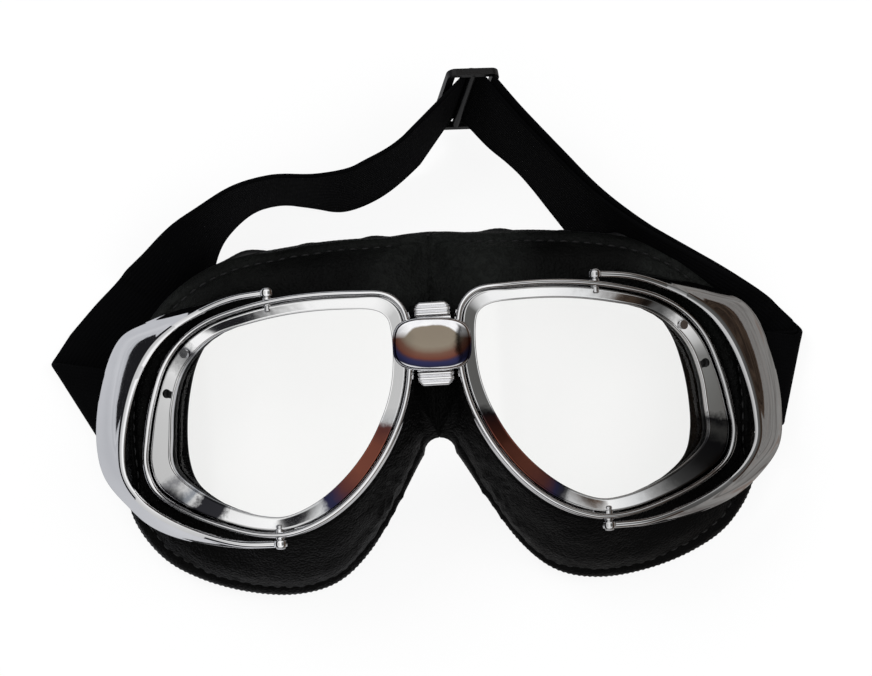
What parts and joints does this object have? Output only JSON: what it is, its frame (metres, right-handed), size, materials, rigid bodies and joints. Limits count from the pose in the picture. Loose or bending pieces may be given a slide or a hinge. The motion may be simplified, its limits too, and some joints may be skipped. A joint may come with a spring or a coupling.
{
  "type": "aviator goggles",
  "caption": "Split-lens aviator goggles with chromed rims, hinged side wings, a padded leather mask and an adjustable elastic strap.",
  "frame": {"origin": "on the table under the middle of the whole object", "axes": "+X across both eyes, to the right as seen from the front; +Y towards the forehead; +Z out of the front of the lenses"},
  "size_m": [0.2097, 0.1409, 0.0454],
  "materials": {
    "chrome": "polished",
    "ring": "polished",
    "steel": "satin",
    "lens": "clear",
    "gasket": "matt",
    "leather": "soft grain, semi-gloss",
    "foam": "matt",
    "binding": "overlocked edge",
    "elastic": "woven, matt",
    "plastic": "moulded"
  },
  "bodies": {
    "frame": {"rim_left": "chrome", "rim_right": "chrome", "lens_left": "lens", "lens_right": "lens", "lens_seal_left": "gasket", "lens_seal_right": "gasket", "lens_ring_left": "ring", "lens_ring_right": "ring", "ring_screw_left": "steel", "ring_screw_right": "steel", "bridge_plate": "chrome", "bridge_link": "ring", "bridge_screws": "steel", "pivot_pins_left": "steel", "pivot_pins_right": "steel", "mask_left": "leather", "mask_right": "leather", "face_pad_left": "foam", "face_pad_right": "foam", "edge_binding_left": "binding", "edge_binding_right": "binding", "strap_main": "elastic", "strap_return": "elastic"},
    "wing_left": {"wing_left": "chrome", "strap_bar_left": "steel", "strap_loop_left": "elastic"},
    "wing_right": {"wing_right": "chrome", "strap_bar_right": "steel", "strap_loop_right": "elastic"},
    "slider": {"strap_slider": "plastic"}
  },
  "joints": [
    {"name": "wing_left_hinge", "type": "hinge", "parent": "frame", "child": "wing_left", "pos_m": [-0.044, -0.004, 0.033], "axis": [0, 1, 0], "range_deg": [0, 25]},
    {"name": "wing_right_hinge", "type": "hinge", "parent": "frame", "child": "wing_right", "pos_m": [0.044, -0.004, 0.033], "axis": [0, -1, 0], "range_deg": [0, 25]},
    {"name": "slider_slide", "type": "slide", "parent": "frame", "child": "slider", "axis": [0.6559, -0.7549, 0], "range_m": [0, 0.03], "deforming": ["strap_main", "strap_return"]}
  ]
}
